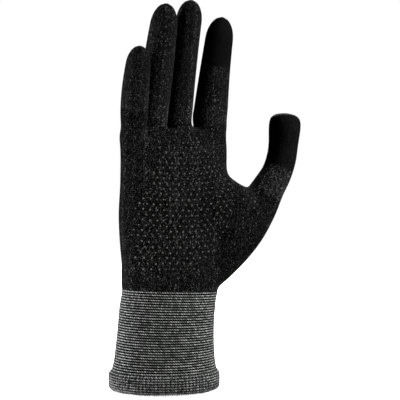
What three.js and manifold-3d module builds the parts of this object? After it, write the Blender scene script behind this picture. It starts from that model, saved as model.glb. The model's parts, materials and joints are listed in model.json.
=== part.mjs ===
// A right-hand seamless knitted glove with touchscreen yarn on the thumb and index fingertips.
// Fingers point up (+Z), the palm faces -Y and the thumb is on the +X side.
// The cuff's lower edge lies in the plane z = 0. All lengths are in millimetres.
import * as THREE from 'three';
import { mergeVertices } from 'three/addons/utils/BufferGeometryUtils.js';
import Module from 'manifold-3d';

const wasm = await Module();
wasm.setup();

// Knitted wall and the gap left between pieces that meet.
const WALL = 1.6;
const GAP = 0.3;

// Cuff heights: overlocked edge, folded hem and striped sleeve.
const EDGE_TOP = 2.2;
const HEM_TOP = 14;
const CUFF_TOP = 64.5;

// Bend limits in degrees, measured from the rest shape.
const ROOT_BEND = 75;
const MIDDLE_BEND = 85;
const TIP_BEND = 57;
const THUMB_ROOT_BEND = 35;
const THUMB_TIP_BEND = 60;

// How far inside the palm-side surface each hinge line runs.
const HINGE_INSET = 2.5;

// Facets round each kind of tube.
const FINGER_SIDES = 14;
const BODY_SIDES = 28;

const BODY_YARN = new THREE.MeshStandardMaterial({ color: 0x1d1d1f, roughness: 0.93, metalness: 0 });
const TOUCH_YARN = new THREE.MeshStandardMaterial({ color: 0x0b0b0c, roughness: 0.82, metalness: 0 });
const CUFF_YARN = new THREE.MeshStandardMaterial({ color: 0x4a4a4b, roughness: 0.92, metalness: 0 });
const HEM_YARN = new THREE.MeshStandardMaterial({ color: 0x3c3c3d, roughness: 0.92, metalness: 0 });
const EDGE_YARN = new THREE.MeshStandardMaterial({ color: 0x5c5c5d, roughness: 0.9, metalness: 0 });

const UP = new THREE.Vector3(0, 0, 1);
const PALMWARD = new THREE.Vector3(0, -1, 0);

// Each finger stall: the point on its centre line level with the web, its lean towards the thumb,
// its forward tilt at the web and at the tip, its length, half width and half depth, and where
// along it the three hinges lie.
const FINGERS = {
  little: {
    web: [-23.6, -4.5, 168], lean: -2.2, tilt: [9, 27], length: 56.5,
    half: [8.3, 8.6], hinges: [7, 26, 41],
  },
  ring: {
    web: [-6.4, 0, 172], lean: 0.5, tilt: [5, 20], length: 80.8,
    half: [8.5, 9], hinges: [9, 36, 57],
  },
  middle: {
    web: [11, 1.5, 174], lean: 2.6, tilt: [3, 15], length: 82.8,
    half: [8.5, 9], hinges: [9, 37, 59],
  },
  index: {
    web: [33.2, 0, 173], lean: 4.2, tilt: [2, 12], length: 74.2,
    half: [10.2, 9.4], hinges: [9, 31, 51],
  },
};

// How far the stalls run down inside the hand, where they fade into it.
const FINGER_ROOT = 22;

// Where the index stall changes to touchscreen yarn, along its length.
const INDEX_YARN_CHANGE = 40.5;

// The thumb's centre line from inside the heel of the hand to the tip: x, y, z, half width.
const THUMB = [
  [22, -1, 73, 11], [40, -6.5, 88.5, 15], [53.6, -10.5, 105.5, 15], [63.4, -12, 119.5, 13.4],
  [71.2, -12, 132, 11.6], [77.6, -12, 142, 10.6], [81.4, -12.6, 152, 10.2], [82.9, -13.2, 165, 10.1],
  [83.4, -13.8, 175, 9.8], [83.4, -14.2, 181, 7.2], [83.2, -14.4, 184, 2],
];
const THUMB_FLEX = new THREE.Vector3(-0.62, -0.78, 0);
const THUMB_HINGES = [0.41, 0.6];

// Where the root of the thumb stall parts from the hand: a share of the thumb's curve, and x.
const THUMB_ROOT_CUT = 0.17;
const HAND_SIDE = 46.6;

// Cross-sections of the hand: height, centre x, centre y, half width, half depth.
const HAND = [
  [56, 3.4, 0, 31, 19.9], [72, 5.2, 0, 32.6, 19.4], [82, 6, -0.4, 34.4, 18.8],
  [94, 6.4, -0.8, 36.4, 18], [112, 6.6, -1, 38, 16.6], [136, 7.4, -0.8, 37.8, 15],
  [154, 7.2, -0.6, 38.4, 13.4], [164, 6.8, -0.8, 38.8, 11.6], [169, 6.6, -0.8, 37.6, 9.4],
  [171.5, 6.6, -0.8, 34, 6],
];

// The web between thumb and hand: x, y, z, half width, half depth.
const WEB = [
  [18, -2, 112, 17, 13], [40, -5.5, 119, 18, 10.5], [47, -7.5, 120, 16, 10],
  [55, -9.6, 121, 12.4, 9.8], [64, -12, 121, 10, 9],
];

// Cross-sections of the cuff: height, centre x, centre y, half width, half depth.
const SLEEVE = [
  [HEM_TOP + GAP / 2, 0.3, 0, 34.2, 22], [28, 0.8, 0, 32.4, 21], [40, 1.7, 0, 31.4, 20.4],
  [52, 2.9, 0, 31, 20], [CUFF_TOP - GAP / 2, 4.7, 0, 31.3, 19.6],
];
const HEM = [
  [EDGE_TOP + GAP / 2, 0.2, 0, 36, 23.2], [5, 0.2, 0, 36.4, 23.6],
  [10, 0.2, 0, 36.2, 23.4], [HEM_TOP - GAP / 2, 0.2, 0, 35, 22.6],
];
const EDGE = [
  [0, 0.2, 0, 35.6, 22.9], [0.7, 0.2, 0, 36.1, 23.3],
  [1.5, 0.2, 0, 36.1, 23.3], [EDGE_TOP - GAP / 2, 0.2, 0, 35.7, 23],
];

// The cuff is turned on the hand, by this angle at its lower end and by nothing at the palm.
const CUFF_TURN = THREE.MathUtils.degToRad(-18);
const TURN_HEIGHTS = [30, 110];

// How square the body's cross-sections are: 2 would be an ellipse.
const SQUARENESS = 2.3;

function solidOf(geometry) {
  geometry.deleteAttribute('normal');
  geometry.deleteAttribute('uv');
  const welded = mergeVertices(geometry, 1e-4);
  const vertProperties = new Float32Array(welded.attributes.position.array);
  const triVerts = new Uint32Array(welded.index.array);
  return new wasm.Manifold(new wasm.Mesh({ numProp: 3, vertProperties, triVerts }));
}

// A closed tube: a unit cylinder whose rings are carried to the given stations. Each station has
// a centre, an across and a palm-side direction, and a half width and half depth along them.
function tube(sides, stations, power) {
  const geometry = new THREE.CylinderGeometry(1, 1, 1, sides, stations.length - 1);
  const position = geometry.attributes.position;
  const point = new THREE.Vector3();
  for (let i = 0; i < position.count; i += 1) {
    const along = Math.round((position.getY(i) + 0.5) * (stations.length - 1));
    const { centre, across, deep, width, depth } = stations[along];
    const x = position.getX(i);
    const z = position.getZ(i);
    const reach = (Math.abs(x) ** power + Math.abs(z) ** power) ** (1 / power);
    const grow = reach > 1e-6 ? 1 / reach : 0;
    point.copy(centre);
    point.addScaledVector(across, x * width * grow);
    point.addScaledVector(deep, z * depth * grow);
    position.setXYZ(i, point.x, point.y, point.z);
  }
  return solidOf(geometry);
}

// A tube of level cross-sections, with its wall moved in by inset and its two ends moved up by rises.
function upright(rows, inset = 0, rises = [0, 0]) {
  const stations = rows.map(([z, x, y, width, depth], i) => {
    const rise = i === 0 ? rises[0] : i === rows.length - 1 ? rises[1] : 0;
    const turn = CUFF_TURN * (1 - THREE.MathUtils.smoothstep(z, ...TURN_HEIGHTS));
    const centre = new THREE.Vector3(x, y, z + rise).applyAxisAngle(UP, turn);
    const across = new THREE.Vector3(1, 0, 0).applyAxisAngle(UP, turn);
    const deep = PALMWARD.clone().applyAxisAngle(UP, turn);
    return { centre, across, deep, width: width - inset, depth: depth - inset };
  });
  return tube(BODY_SIDES, stations, SQUARENESS);
}

// The frame of a finger at a distance along its centre line, which curls evenly towards the palm.
function fingerFrame(finger, along) {
  const lean = THREE.MathUtils.degToRad(finger.lean);
  const start = new THREE.Vector3(Math.sin(lean), 0, Math.cos(lean));
  const [low, high] = finger.tilt.map(THREE.MathUtils.degToRad);
  const rate = (high - low) / finger.length;
  const tilt = low + rate * Math.max(along, 0);
  const rise = (Math.sin(tilt) - Math.sin(low)) / rate + Math.min(along, 0) * Math.cos(low);
  const reach = (Math.cos(low) - Math.cos(tilt)) / rate + Math.min(along, 0) * Math.sin(low);
  const centre = new THREE.Vector3(...finger.web);
  centre.addScaledVector(start, rise).addScaledVector(PALMWARD, reach);
  const tangent = start.clone().multiplyScalar(Math.cos(tilt));
  tangent.addScaledVector(PALMWARD, Math.sin(tilt));
  const deep = start.clone().multiplyScalar(-Math.sin(tilt));
  deep.addScaledVector(PALMWARD, Math.cos(tilt));
  return { centre, tangent, deep, across: tangent.clone().cross(deep) };
}

// Half width and half depth of a finger at a distance along it, with a round end.
function fingerSection(finger, along) {
  const [width, depth] = finger.half;
  const share = Math.max(along, 0) / finger.length;
  const taper = 1 + 0.03 * (1 - share) - 0.06 * share ** 2 + 0.008 * Math.min(along, 0);
  const nose = finger.length - width * 1.02;
  const over = Math.max(0, along - nose) / (finger.length - nose);
  const round = Math.sqrt(Math.max(0.012, 1 - over ** 2));
  return { width: width * taper * round, depth: depth * taper * round };
}

function fingerTube(finger, inset) {
  const nose = finger.length - finger.half[0] * 1.02;
  const last = finger.length - inset;
  const body = [0, 0.33, 0.66, 1].map((share) => share * nose);
  const end = [0.5, 0.82, 1].map((share) => nose + (last - nose) * share);
  const stations = [-FINGER_ROOT, ...body, ...end].map((along) => {
    const frame = fingerFrame(finger, along);
    const section = fingerSection(finger, Math.min(along + (along > nose ? inset : 0), finger.length));
    const width = Math.max(section.width - inset, 0.4);
    const depth = Math.max(section.depth - inset, 0.4);
    return { ...frame, width, depth };
  });
  return tube(FINGER_SIDES, stations, 2.1);
}

const thumbCurve = new THREE.CatmullRomCurve3(THUMB.map(([x, y, z]) => new THREE.Vector3(x, y, z)));

// The frame of the thumb at a share of its curve.
function thumbFrame(share) {
  const centre = thumbCurve.getPoint(share);
  const tangent = thumbCurve.getTangent(share);
  const deep = THUMB_FLEX.clone().addScaledVector(tangent, -THUMB_FLEX.dot(tangent)).normalize();
  return { centre, tangent, deep, across: tangent.clone().cross(deep) };
}

function thumbTube(inset) {
  const stations = THUMB.map(([, , , half], i) => {
    const frame = thumbFrame(i / (THUMB.length - 1));
    if (i === THUMB.length - 1) {
      frame.centre.addScaledVector(frame.tangent, -inset);
    }
    const width = Math.max(half - inset, 0.5);
    return { ...frame, width, depth: width };
  });
  return tube(FINGER_SIDES, stations, 2.1);
}

function webTube(inset) {
  const curve = new THREE.CatmullRomCurve3(WEB.map(([x, y, z]) => new THREE.Vector3(x, y, z)));
  const stations = WEB.map(([, , , width, depth], i) => {
    const share = i / (WEB.length - 1);
    const tangent = curve.getTangent(share);
    const deep = PALMWARD.clone().addScaledVector(tangent, -PALMWARD.dot(tangent)).normalize();
    const across = tangent.clone().cross(deep);
    return { centre: curve.getPoint(share), across, deep, width: width - inset, depth: depth - inset };
  });
  return tube(FINGER_SIDES, stations, 2);
}

// A hinge: where it crosses the centre line, the frame there, how deep its line runs towards the
// palm, and half the angle it opens by on that side.
function hingeAt(frame, depth, bend) {
  return { ...frame, inset: depth - HINGE_INSET, open: THREE.MathUtils.degToRad(bend / 2 + 1) };
}

// The space on one side of a hinge (side 1 is towards the tip). On the palm side of the hinge
// line it slopes away, so that both pieces can close up when the finger bends.
function sideOf(hinge, side) {
  const far = 160;
  const wide = 60;
  const notch = 7;
  const slope = GAP / 2 + notch * Math.tan(hinge.open);
  const outline = [
    [GAP / 2, -wide], [GAP / 2, hinge.inset], [slope, hinge.inset + notch],
    [slope, wide], [far, wide], [far, -wide],
  ];
  const shape = new THREE.Shape(outline.map(([u, v]) => new THREE.Vector2(u * side, v)));
  const geometry = new THREE.ExtrudeGeometry(shape, { depth: 2 * wide, bevelEnabled: false });
  geometry.translate(0, 0, -wide);
  const place = new THREE.Matrix4().makeBasis(hinge.tangent, hinge.deep, hinge.across);
  place.setPosition(hinge.centre);
  geometry.applyMatrix4(place);
  return solidOf(geometry);
}

// The space above or below a plane across a finger, with no notch.
function flatSideOf(frame, side) {
  const block = new THREE.BoxGeometry(160, 120, 120);
  block.translate(side * (80 + GAP / 2), 0, 0);
  const place = new THREE.Matrix4().makeBasis(frame.tangent, frame.deep, frame.across);
  place.setPosition(frame.centre);
  block.applyMatrix4(place);
  return solidOf(block);
}

// The space that holds the root of the thumb stall: beyond a plane across the thumb, and past a
// level line up the hand's side. Its faces are moved in by clear.
function thumbRootSpace(clear) {
  const block = new THREE.BoxGeometry(160, 120, 120);
  block.translate(80 + clear, 0, 0);
  const frame = thumbFrame(THUMB_ROOT_CUT);
  const place = new THREE.Matrix4().makeBasis(frame.tangent, frame.deep, frame.across);
  place.setPosition(frame.centre);
  block.applyMatrix4(place);
  const side = new THREE.BoxGeometry(200, 200, 400);
  side.translate(HAND_SIDE + clear + 100, 0, 0);
  return solidOf(block).intersect(solidOf(side));
}

const glove = new THREE.Group();
const hinges = {};

function addPiece(name, solid, material) {
  const { vertProperties, triVerts } = solid.getMesh();
  const geometry = new THREE.BufferGeometry();
  geometry.setAttribute('position', new THREE.BufferAttribute(vertProperties, 3));
  geometry.setIndex(new THREE.BufferAttribute(triVerts, 1));
  geometry.computeVertexNormals();
  const mesh = new THREE.Mesh(geometry, material);
  mesh.name = name;
  glove.add(mesh);
}

// The outer forms joined at the hand, and the one hollow that runs through the whole glove.
let outer = upright(HAND).add(webTube(0));
let hollow = upright(HAND, WALL, [-1, -WALL]).add(webTube(WALL + 0.8));

for (const [name, finger] of Object.entries(FINGERS)) {
  const form = fingerTube(finger, 0);
  const core = fingerTube(finger, WALL);
  const bends = [ROOT_BEND, MIDDLE_BEND, TIP_BEND];
  const [root, middle, tip] = finger.hinges.map((along, i) => {
    const depth = fingerSection(finger, along).depth;
    return hingeAt(fingerFrame(finger, along), depth, bends[i]);
  });
  hinges[name] = [root, middle, tip];
  outer = outer.add(form.intersect(sideOf(root, -1)));
  hollow = hollow.add(core);
  const shell = form.subtract(core);
  const base = shell.intersect(sideOf(root, 1)).intersect(sideOf(middle, -1));
  const second = shell.intersect(sideOf(middle, 1)).intersect(sideOf(tip, -1));
  const end = shell.intersect(sideOf(tip, 1));
  addPiece(`${name}_stall_base`, base, BODY_YARN);
  if (name === 'index') {
    const change = fingerFrame(finger, INDEX_YARN_CHANGE);
    addPiece('index_stall_middle', second.intersect(flatSideOf(change, -1)), BODY_YARN);
    addPiece('index_touch_band', second.intersect(flatSideOf(change, 1)), TOUCH_YARN);
    addPiece('index_touch_tip', end, TOUCH_YARN);
  } else {
    addPiece(`${name}_stall_middle`, second, BODY_YARN);
    addPiece(`${name}_stall_tip`, end, BODY_YARN);
  }
}

const thumbForm = thumbTube(0);
const thumbCore = thumbTube(WALL);
const thumbBends = [THUMB_ROOT_BEND, THUMB_TIP_BEND];
const [thumbRoot, thumbJoint] = THUMB_HINGES.map((share, i) => {
  const half = THREE.MathUtils.lerp(THUMB[4][3], THUMB[6][3], i);
  return hingeAt(thumbFrame(share), half, thumbBends[i]);
});
hinges.thumb = [thumbRoot, thumbJoint];
outer = outer.add(thumbForm.intersect(sideOf(thumbRoot, -1)));
hollow = hollow.add(thumbCore);
const thumbShell = thumbForm.subtract(thumbCore);
const thumbBase = thumbShell.intersect(sideOf(thumbRoot, 1)).intersect(sideOf(thumbJoint, -1));
addPiece('thumb_stall', thumbBase, BODY_YARN);
addPiece('thumb_touch_tip', thumbShell.intersect(sideOf(thumbJoint, 1)), TOUCH_YARN);

const below = new THREE.BoxGeometry(200, 200, 200);
below.translate(0, 0, CUFF_TOP + GAP / 2 - 100);
const handShell = outer.subtract(hollow).subtract(solidOf(below));
addPiece('hand_body', handShell.subtract(thumbRootSpace(-GAP / 2)), BODY_YARN);
addPiece('thumb_stall_root', handShell.intersect(thumbRootSpace(GAP / 2)), BODY_YARN);

addPiece('cuff_sleeve', upright(SLEEVE).subtract(upright(SLEEVE, WALL, [-1, 1])), CUFF_YARN);
addPiece('cuff_hem', upright(HEM).subtract(upright(HEM, 2 * WALL, [-1, 1])), HEM_YARN);
addPiece('cuff_edge_overlock', upright(EDGE).subtract(upright(EDGE, 2 * WALL, [-1, 1])), EDGE_YARN);

export default glove;
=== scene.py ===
"""A right-hand knitted touchscreen glove: fingers up, palm towards -Y, thumb towards +X.

The skin of the glove is one surface: tubes for the fingers, the thumb and the hand are joined,
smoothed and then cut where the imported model's bodies meet. Lengths are in millimetres until a
mesh is made, which is in metres.
"""
import json
import math

import bmesh
import bpy
import numpy as np
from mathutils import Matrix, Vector
from mathutils.bvhtree import BVHTree


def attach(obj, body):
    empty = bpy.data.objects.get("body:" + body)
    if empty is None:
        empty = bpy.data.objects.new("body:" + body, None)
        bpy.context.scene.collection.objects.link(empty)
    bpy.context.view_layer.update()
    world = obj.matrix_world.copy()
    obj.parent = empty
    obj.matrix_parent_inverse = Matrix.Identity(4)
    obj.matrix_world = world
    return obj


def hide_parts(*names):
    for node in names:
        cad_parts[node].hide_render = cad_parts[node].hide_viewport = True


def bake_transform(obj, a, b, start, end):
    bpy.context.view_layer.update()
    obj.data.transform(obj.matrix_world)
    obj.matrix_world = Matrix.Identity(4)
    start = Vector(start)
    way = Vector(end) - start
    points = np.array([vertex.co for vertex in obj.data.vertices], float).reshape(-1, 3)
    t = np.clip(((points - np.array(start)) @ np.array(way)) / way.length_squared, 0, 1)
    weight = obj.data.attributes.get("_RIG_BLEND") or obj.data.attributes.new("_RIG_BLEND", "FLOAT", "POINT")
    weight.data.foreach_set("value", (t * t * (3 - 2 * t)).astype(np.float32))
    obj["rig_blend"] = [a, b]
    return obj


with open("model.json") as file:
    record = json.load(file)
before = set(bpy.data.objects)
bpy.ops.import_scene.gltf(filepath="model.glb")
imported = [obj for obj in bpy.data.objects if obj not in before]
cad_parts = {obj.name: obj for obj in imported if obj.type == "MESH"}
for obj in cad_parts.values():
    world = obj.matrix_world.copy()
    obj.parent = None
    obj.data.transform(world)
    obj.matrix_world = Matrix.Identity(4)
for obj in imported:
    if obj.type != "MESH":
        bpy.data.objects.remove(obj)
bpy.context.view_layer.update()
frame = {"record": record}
record = frame["record"]

MM = 0.001
RNG = np.random.default_rng(7)

# -------------------- driving sizes

WALL = 1.4
VOXEL = 0.8
CUFF_TOP = 64.5
HEM_TOP = 13.2
# The cuff's upper line and its courses are lower towards the thumb: their slope, and the place
# across where they are at their own height.
CUFF_LEAN = 0.035
CUFF_MIDDLE = 3.1

# Knit gauge of the body and of the touchscreen yarn: height of a course and width of a wale.
COURSE = 0.66
WALE = 1.2
TOUCH_COURSE = 0.7
TOUCH_WALE = 1.0

UP = np.array([0.0, 0.0, 1.0])
PALMWARD = np.array([0.0, -1.0, 0.0])

# Each stall: the point on its centre line at the web, lean towards the thumb, tilt towards the
# palm at the web and at the tip, length, half widths (web, middle, tip), half depth, the three
# hinges and the half length of the fabric that bends at each.
FINGERS = {
    "little": dict(web=(-23.6, -4.5, 168), lean=-1.8, tilt=(9, 27), length=56.5,
                   widths=(8.8, 8.8, 7.1), depth=8.5, hinges=(7, 26, 41), zones=(5.5, 8, 6)),
    "ring": dict(web=(-7.6, 0, 172), lean=1.7, tilt=(5, 20), length=80.8,
                 widths=(9.0, 10.0, 8.2), depth=9.3, hinges=(9, 36, 57), zones=(6, 10, 8)),
    "middle": dict(web=(11.0, 1.5, 174), lean=2.8, tilt=(3, 15), length=82.8,
                   widths=(8.8, 8.8, 8.3), depth=9.0, hinges=(9, 37, 59), zones=(6.5, 10, 8)),
    "index": dict(web=(33.2, 0, 173), lean=4.2, tilt=(2, 12), length=74.2,
                  widths=(12.2, 10.3, 8.9), depth=9.3, hinges=(9, 31, 51), zones=(6.5, 8.5, 8)),
}
# How far along the index finger the touchscreen yarn starts.
INDEX_YARN_CHANGE = 40.5

# The thumb: x, y, z and half width along its centre line. Its two hinges are the record's.
THUMB = [
    (21.5, -1, 68, 12.4), (40, -6.5, 88.5, 15.0), (53.6, -10.5, 105.5, 15.0), (63.4, -12, 119.5, 13.4),
    (71.5, -12, 132, 11.4), (78.0, -12, 142, 10.4), (81.4, -12.6, 152, 10.2),
    (82.8, -13.2, 162, 10.3), (83.2, -13.8, 171, 11.3),
]
# How far the thumb's tip reaches past the last point, the length of its round end and the way
# in which the thumb bends.
THUMB_PAST = 12.4
THUMB_NOSE = 9.0
THUMB_FLEX = np.array([-0.62, -0.78, 0.0])
# Half lengths of the fabric that bends at the thumb's hinges, and where the yarn changes and the
# second stretch starts, before the second hinge.
THUMB_ZONES = (7, 7)
THUMB_YARN_CHANGE = 6.5

# The web between thumb and hand: x, y, z, half width, half depth.
WEB = [(18, -3, 112, 20, 14.5), (40.8, -8.0, 119, 23.5, 13.5), (47.8, -10.0, 119, 18.2, 12.9),
       (55.6, -11.4, 119, 13.4, 12.2), (64, -12.4, 119, 10.5, 10)]

# Level cross-sections of cuff and hand: height, centre x, centre y, half width, half depth.
BODY = [
    (HEM_TOP - 2, 0.2, 0, 34.9, 22.4), (18, 0.4, 0, 33.5, 21.6), (28, 0.7, 0, 32.5, 21.0),
    (40, 1.3, 0, 31.8, 20.4), (52, 2.2, 0, 31.7, 20.0), (64.5, 4.2, 0, 32.0, 19.6),
    (71, 5.6, 0, 33.8, 19.4), (82, 6.0, -0.4, 34.4, 18.8), (94, 6.4, -0.8, 36.4, 18.0),
    (112, 6.6, -1, 38, 16.6),
    (136, 7.5, -0.8, 37.9, 15), (154, 7.5, -0.8, 38.0, 12.8), (164, 7.2, -1.0, 38.2, 10.8),
    (169, 6.8, -1.0, 37.6, 9.2), (171.5, 6.8, -1.0, 34.6, 6.5),
]
SQUARENESS = 2.3
# The middle of the hand across and the height of the fingers' roots.
HAND_MIDDLE = 7.2
KNUCKLES = 168
# The cuff is turned on the hand, most at its lower end.
CUFF_TURN = math.radians(-18)
TURN_HEIGHTS = (30, 110)


# -------------------- shape helpers

def smoothstep(value):
    """A smooth rise from 0 to 1 as the value goes from 0 to 1."""
    t = np.clip(value, 0, 1)
    return t * t * (3 - 2 * t)


def spline(table, at):
    """All columns of a table but the first, as smooth functions of the first."""
    table = np.asarray(table, float)
    x, y = table[:, 0], table[:, 1:]
    at = np.clip(np.atleast_1d(at).astype(float), x[0], x[-1])
    slope = np.gradient(y, x, axis=0)
    i = np.clip(np.searchsorted(x, at, side="right") - 1, 0, len(x) - 2)
    h = (x[i + 1] - x[i])[:, None]
    t = ((at - x[i]) / h[:, 0])[:, None]
    return ((2 * t**3 - 3 * t**2 + 1) * y[i] + (t**3 - 2 * t**2 + t) * h * slope[i]
            + (3 * t**2 - 2 * t**3) * y[i + 1] + (t**3 - t**2) * h * slope[i + 1])


def unit(v):
    return v / np.linalg.norm(v, axis=-1, keepdims=True)


def around(distance, reach):
    """A weight that is 1 at distance 0 and fades out past the reach."""
    return np.exp(-(distance / reach) ** 2)


def path_steps(points):
    """How far along a line of points each of them is."""
    return np.concatenate([[0], np.cumsum(np.linalg.norm(np.diff(points, axis=0), axis=1))])


def finger_frame(finger, along):
    """Centre, tangent, palm-side and across directions at distances along a finger."""
    along = np.atleast_1d(along).astype(float)
    lean = math.radians(finger["lean"])
    start = np.array([math.sin(lean), 0, math.cos(lean)])
    low, high = (math.radians(a) for a in finger["tilt"])
    rate = (high - low) / finger["length"]
    ahead, behind = np.maximum(along, 0), np.minimum(along, 0)
    tilt = low + rate * ahead
    rise = (np.sin(tilt) - math.sin(low)) / rate + behind * math.cos(low)
    reach = (math.cos(low) - np.cos(tilt)) / rate + behind * math.sin(low)
    centre = np.array(finger["web"]) + rise[:, None] * start + reach[:, None] * PALMWARD
    cos, sin = np.cos(tilt)[:, None], np.sin(tilt)[:, None]
    tangent = cos * start + sin * PALMWARD
    deep = -sin * start + cos * PALMWARD
    return centre, tangent, deep, np.cross(tangent, deep)


def finger_section(finger, along):
    """Half width and half depth at distances along a finger, with its round end."""
    web, middle, tip = finger["widths"]
    share = np.clip(along / finger["length"], 0, 1)
    width = spline([(0, web), (0.5, middle), (1, tip)], share)[:, 0]
    depth = width * finger["depth"] / middle
    nose = 1.8 * tip
    over = np.clip((along - finger["length"] + nose) / nose, 0, 1)
    round_off = np.maximum(1 - over**2.3, 0) ** 0.52
    fade = 1 + 0.008 * np.minimum(along, 0)
    return width * round_off * fade, depth * round_off * fade


def moved_on(faces, base):
    """The same faces for vertices that start further on."""
    return [tuple(v + base for v in face) for face in faces]


def in_scene(name, data):
    obj = bpy.data.objects.new(name, data)
    bpy.context.scene.collection.objects.link(obj)
    return obj


def tube_faces(rings, sides):
    """Faces of a closed tube whose vertices are rings of points, one ring after the other."""
    faces = []
    for row in range(rings - 1):
        for k in range(sides):
            a, b = row * sides + k, row * sides + (k + 1) % sides
            faces.append((a, b, b + sides, a + sides))
    faces.append(tuple(reversed(range(sides))))
    faces.append(tuple(range((rings - 1) * sides, rings * sides)))
    return faces


def tube(centre, across, deep, width, depth, sides, power):
    """A closed tube through cross-sections: vertices and faces."""
    angle = np.arange(sides) * 2 * math.pi / sides
    c, s = np.sin(angle), np.cos(angle)
    grow = (np.abs(c)**power + np.abs(s)**power) ** (-1 / power)
    c, s = c * grow, s * grow
    rings = (centre[:, None] + across[:, None] * (width[:, None] * c)[..., None]
             + deep[:, None] * (depth[:, None] * s)[..., None])
    return rings.reshape(-1, 3), tube_faces(len(centre), sides)


def turned(points, height):
    """Points of the cuff, turned about the vertical by how low they are."""
    low, high = TURN_HEIGHTS
    turn = CUFF_TURN * (1 - smoothstep((height - low) / (high - low)))
    c, s = np.cos(turn), np.sin(turn)
    out = points.copy()
    out[..., 0] = points[..., 0] * c - points[..., 1] * s
    out[..., 1] = points[..., 0] * s + points[..., 1] * c
    return out


def body_ring(height, angle, outward=0.0):
    """Points of the cuff and hand's surface at heights and angles (0 faces the palm side)."""
    height, angle, outward = np.broadcast_arrays(height, angle, outward)
    x, y, width, depth = spline(BODY, height.ravel()).T
    width, depth = width + outward.ravel(), depth + outward.ravel()
    c, s = np.sin(angle.ravel()), np.cos(angle.ravel())
    grow = (np.abs(c)**SQUARENESS + np.abs(s)**SQUARENESS) ** (-1 / SQUARENESS)
    flat = np.stack([x + width * c * grow, y - depth * s * grow, height.ravel()], -1)
    return turned(flat, height.ravel()).reshape(height.shape + (3,))


# -------------------- the skin, before it is cut

# While the tubes are joined the fingers are spread, so that neighbours don't fuse.
SPREAD = {"little": -12, "ring": -4, "middle": 4, "index": 12}
SPREAD_FROM = {"little": 165.5, "ring": 166, "middle": 171.5, "index": 171.5}
SPREAD_OVER = 12.0


# Sides of a limb's tube, how square it is, the length of a finger's round end, and how far before
# its very tip a tube is closed.
LIMB_SIDES = 40
LIMB_SQUARENESS = 2.1
FINGER_NOSE = 16
CLOSED_END = 0.02


def spread_at(name, height):
    return SPREAD[name] * smoothstep((height - SPREAD_FROM[name]) / SPREAD_OVER)


def finger_tube(name, finger):
    """A finger with its root inside the hand, spread from its neighbours."""
    length = finger["length"]
    along = np.concatenate([[-24, -12], np.arange(0, length - FINGER_NOSE, 2.0),
                            length - FINGER_NOSE * np.cos(np.linspace(0, math.pi / 2, 18))])
    along[-1] -= CLOSED_END
    centre, _, deep, across = finger_frame(finger, along)
    width, depth = (np.maximum(half, 0.15) for half in finger_section(finger, along))
    verts, faces = tube(centre, across, deep, width, depth, LIMB_SIDES, LIMB_SQUARENESS)
    verts[:, 0] += spread_at(name, verts[:, 2])
    return verts, faces


thumb_points = np.array(THUMB, float)
thumb_steps = path_steps(thumb_points[:, :3])
thumb_table = np.column_stack([thumb_steps, thumb_points])
THUMB_LENGTH = thumb_steps[-1] + THUMB_PAST


def thumb_frame(along):
    """Centre, tangent, palm-side and across directions at distances along the thumb."""
    along = np.atleast_1d(along).astype(float)
    end = thumb_steps[-1]
    centre = spline(thumb_table, along)[:, :3]
    ahead = spline(thumb_table, np.minimum(along, end))[:, :3]
    before = spline(thumb_table, np.minimum(along, end) - 0.5)[:, :3]
    at_root = thumb_points[1, :3] - thumb_points[0, :3]
    tangent = unit(np.where((along > 0.5)[:, None], ahead - before, at_root))
    centre = centre + tangent * np.maximum(along - end, 0)[:, None]
    deep = unit(THUMB_FLEX - (tangent @ THUMB_FLEX)[:, None] * tangent)
    return centre, tangent, deep, np.cross(tangent, deep)


def thumb_section(along):
    """Half width at distances along the thumb, with its blunt end."""
    width = spline(thumb_table, np.minimum(along, thumb_steps[-1]))[:, 3]
    over = np.clip((along - THUMB_LENGTH + THUMB_NOSE) / THUMB_NOSE, 0, 1)
    return width * np.maximum(1 - over**3.0, 0) ** 0.45


def thumb_tube():
    along = np.concatenate([np.arange(0, THUMB_LENGTH - THUMB_NOSE, 2.5),
                            THUMB_LENGTH - THUMB_NOSE * np.cos(np.linspace(0, math.pi / 2, 14))])
    along[-1] -= CLOSED_END
    centre, _, deep, across = thumb_frame(along)
    width = np.maximum(thumb_section(along), 0.2)
    return tube(centre, across, deep, width, width * 0.96, LIMB_SIDES, LIMB_SQUARENESS)


def web_tube():
    """The bridge between the thumb and the hand."""
    points = np.array(WEB, float)
    steps = path_steps(points[:, :3])
    rows = spline(np.column_stack([steps, points]), np.linspace(0, steps[-1], 24))
    centre, width, depth = rows[:, :3], rows[:, 3], rows[:, 4]
    tangent = unit(np.gradient(centre, axis=0))
    deep = unit(PALMWARD - (tangent @ PALMWARD)[:, None] * tangent)
    return tube(centre, np.cross(tangent, deep), deep, width, depth, 32, 2.0)


def body_tube():
    """The hand and the top of the cuff, its upper end lower on the little finger's side."""
    top = BODY[-1][0]
    heights = np.concatenate([np.arange(BODY[0][0], 160, 3.0), np.linspace(161, top, 10)])
    sides = 96
    angle = np.arange(sides) * 2 * math.pi / sides
    verts = body_ring(heights[:, None], angle[None, :]).reshape(-1, 3)
    slant = np.clip((2 - verts[:, 0]) / 24, 0, 1) * np.clip((verts[:, 2] - 140) / 31, 0, 1)
    verts[:, 2] -= 4.5 * slant
    return verts, tube_faces(len(heights), sides)


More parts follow.
